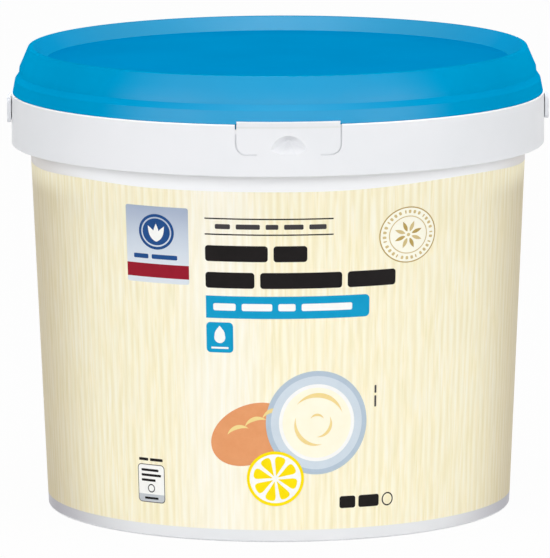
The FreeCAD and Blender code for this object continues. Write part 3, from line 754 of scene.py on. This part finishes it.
def print_food():
    """A dish of mayonnaise from above, a roll of bread and half a lemon."""
    food = Print("print_food", ink_dish, ink_dish_light, ink_cream, ink_swirl, ink_crust, ink_white,
                 ink_yellow)
    food.lay(oval(-20.0, 57.5, 23.0, 15.5, tilt=24.0), 4)
    for number in range(3):
        cut = crescent(-25.0 + 9.5 * number, 52.5 + 4.6 * number, 9.0, 2.2, 65.0, 150.0)
        food.lay(cut, 3, 1)
    dish = (15.5, 63.5)
    for layer, (radius, ink_number) in enumerate(((27.5, 0), (24.8, 1), (20.5, 5), (18.6, 2)), 1):
        food.lay(oval(*dish, radius, radius), ink_number, layer)
    for reach, start in ((14.6, 20.0), (11.8, 165.0), (7.6, 268.0), (4.2, 30.0)):
        food.lay(crescent(*dish, reach, 0.8 + reach * 0.12, start, start + 118.0), 3, 5)
    lemon = (-7.0, 34.0)
    food.lay(oval(*lemon, 15.5, 14.6), 6, 6)
    food.lay(oval(*lemon, 13.9, 13.0), 5, 7)
    for number in range(8):
        food.lay(wedge(*lemon, 1.6, 12.0, 12.0 + 45.0 * number, 36.0), 6, 8)
    food.done()


def print_seal():
    """A gold seal on ivory: two thin rings, a ring of short bars and a rosette of leaves. It is drawn
    round, and stretched across when it is put in its place."""
    seal = Print("print_seal", ink_gold, ink_pale_gold, ink_ivory)
    stretched = Matrix.Translation((65.8, 160.4, 0)) @ Matrix.Diagonal((1.16, 1, 1, 1))
    shapes = [(oval(0, 0, 14.7, 14.7), 2, 0), (oval(0, 0, 14.8, 14.8, band=0.6), 0, 1),
              (oval(0, 0, 10.0, 10.0, band=0.5), 1, 1), (oval(0, 0, 0.9, 0.9, steps=24), 1, 1)]
    for number in range(30):
        bar = wedge(0, 0, 11.3, 13.1, 12.0 * number, 6.6 if number % 4 else 3.6)
        shapes.append((bar, 1, 1))
    for number in range(8):
        turn = 45.0 * number + 22.5
        foot = Matrix.Rotation(math.radians(turn), 2) @ Vector((1.8, 0))
        shapes.append((petal(*foot, 5.8, 1.9, turn), number % 2, 1))
    for flat, ink_number, layer in shapes:
        bmesh.ops.transform(flat, matrix=stretched, verts=flat.verts[:])
        seal.lay(flat, ink_number, layer)
    seal.done()


def print_small_things():
    """The white table of values, the bars of the net weight and a short upright line."""
    small = Print("print_small_things", ink_white, ink_grey, ink_pale_grey, ink_dark)
    small.lay(rounded_box(-87.0, 18.0, -69.8, 38.4, 2.2), 1)
    small.lay(rounded_box(-86.6, 18.4, -70.2, 38.0, 1.9), 0, 1)
    small.lay(rounded_box(-86.6, 18.4, -70.2, 22.4, 1.9, rounded=(0, 1)), 2, 2)
    for low, width in ((34.6, 11.0), (31.9, 12.5), (29.2, 9.0)):
        small.bars(-84.6, low, low + 1.3, [width], 0, 3, 2)
    small.lay(oval(-78.4, 25.6, 2.3, 2.3, band=0.6, steps=24), 1, 2)
    small.bars(-82.8, 19.7, 20.9, [8.8], 0, 3, 3)
    small.bars(-86.0, 40.2, 41.7, [6.0, 8.0], 1.2, 3)
    small.bars(28.2, 17.4, 23.8, [9.0, 12.0], 1.8, 3, corner=0.2)
    small.lay(oval(56.2, 20.7, 3.4, 3.6, band=0.7), 3)
    for low, length in ((70.5, 6.0), (77.8, 4.2)):
        small.lay(rounded_box(47.4, low, 48.5, low + length, 0.4), 1)
    small.done()


print_badge()
print_title()
print_banner()
print_food()
print_seal()
print_small_things()


# ---------------------------------------------------------------- floor, light and camera


def add_floor():
    """A plain white floor. What the camera and reflections see is lifted towards white, and the
    bucket's soft shadow stays."""
    made, tree, shader, place = new_material("studio_floor")
    tree.nodes.remove(shader)
    clouds = add(tree, "TexNoise", {"Vector": place, "Scale": 1 / (FLOOR_CLOUD * MM)})["Fac"]
    paint = add(tree, "ValToRGB", {"Fac": clouds}, [(0.3, "D4D4D4"), (0.7, "D8D8D8")])["Color"]
    matt = add(tree, "BsdfDiffuse", {"Color": paint})[0]
    glow = add(tree, "Emission", {"Color": linear("FFFFFF"), "Strength": 1.0})[0]
    ray = add(tree, "LightPath", {})
    seen = ray["Is Camera Ray"]
    for kind in ("Is Glossy Ray", "Is Transmission Ray"):
        seen = add(tree, "Math", {0: seen, 1: ray[kind]}, operation="MAXIMUM")[0]
    share = add(tree, "Math", {0: seen, 1: FLOOR_GLOW}, operation="MULTIPLY")[0]
    both = add(tree, "MixShader", {0: share, 1: matt, 2: glow})[0]
    connect(tree.nodes["Material Output"], {"Surface": both})
    bm = bmesh.new()
    bmesh.ops.create_grid(bm, x_segments=2, y_segments=2, size=FLOOR_HALF * MM)
    mesh = bpy.data.meshes.new("studio_floor")
    bm.to_mesh(mesh)
    bm.free()
    mesh.materials.append(made)
    floor = bpy.data.objects.new("studio_floor", mesh)
    floor.location.z = FLOOR_LEVEL * MM
    bpy.context.scene.collection.objects.link(floor)


def add_lamps():
    """Soft boxes round the bucket, their places and sizes in metres, all facing its middle."""
    middle = Vector((0, 0, 0.13))
    for name, place, width, height, watts in (
            ("softbox_left", (-3.0, -1.75, 1.0), 3.6, 2.4, 65.0),
            ("softbox_right", (3.0, -1.75, 1.0), 3.6, 2.4, 65.0),
            ("softbox_front", (0, -4.5, 1.3), 3.4, 2.4, 54.0),
            ("softbox_overhead", (0, -0.35, 2.6), 1.6, 1.6, 34.0),
            ("softbox_back", (0, 4.2, 1.2), 3.4, 2.4, 64.0)):
        data = bpy.data.lights.new(name, "AREA")
        data.shape = "RECTANGLE"
        data.size = width
        data.size_y = height
        data.energy = watts
        lamp = bpy.data.objects.new(name, data)
        lamp.location = place
        lamp.rotation_euler = (middle - Vector(place)).to_track_quat("-Z", "Y").to_euler()
        bpy.context.scene.collection.objects.link(lamp)


def add_world():
    """A faint, slightly cool light from all round."""
    world = bpy.data.worlds.new("studio_air")
    world.use_nodes = True
    connect(world.node_tree.nodes["Background"], {"Color": linear("F6F8FC"), "Strength": 0.12})
    bpy.context.scene.world = world


def add_camera():
    """A long lens from far off, so that the bucket's sides look all but parallel."""
    data = bpy.data.cameras.new("camera")
    data.lens = CAMERA_LENS
    data.sensor_width = CAMERA_SENSOR
    data.clip_end = 100.0
    turn = math.radians(CAMERA_TURN)
    back = Vector((-math.sin(turn), -math.cos(turn), 0))
    right = Vector((math.cos(turn), -math.sin(turn), 0))
    camera = bpy.data.objects.new("camera", data)
    place = back * CAMERA_REACH - right * CAMERA_SIDE + Vector((0, 0, CAMERA_HEIGHT))
    camera.location = place * MM
    upright = Euler((math.radians(90 - CAMERA_PITCH), 0, -turn)).to_matrix()
    leaning = Matrix.Rotation(math.radians(CAMERA_ROLL), 3, "Z")
    camera.rotation_euler = (upright @ leaning).to_euler()
    bpy.context.scene.collection.objects.link(camera)
    bpy.context.scene.camera = camera


add_floor()
add_world()
add_camera()
add_lamps()
bpy.context.scene.view_settings.view_transform = "Standard"
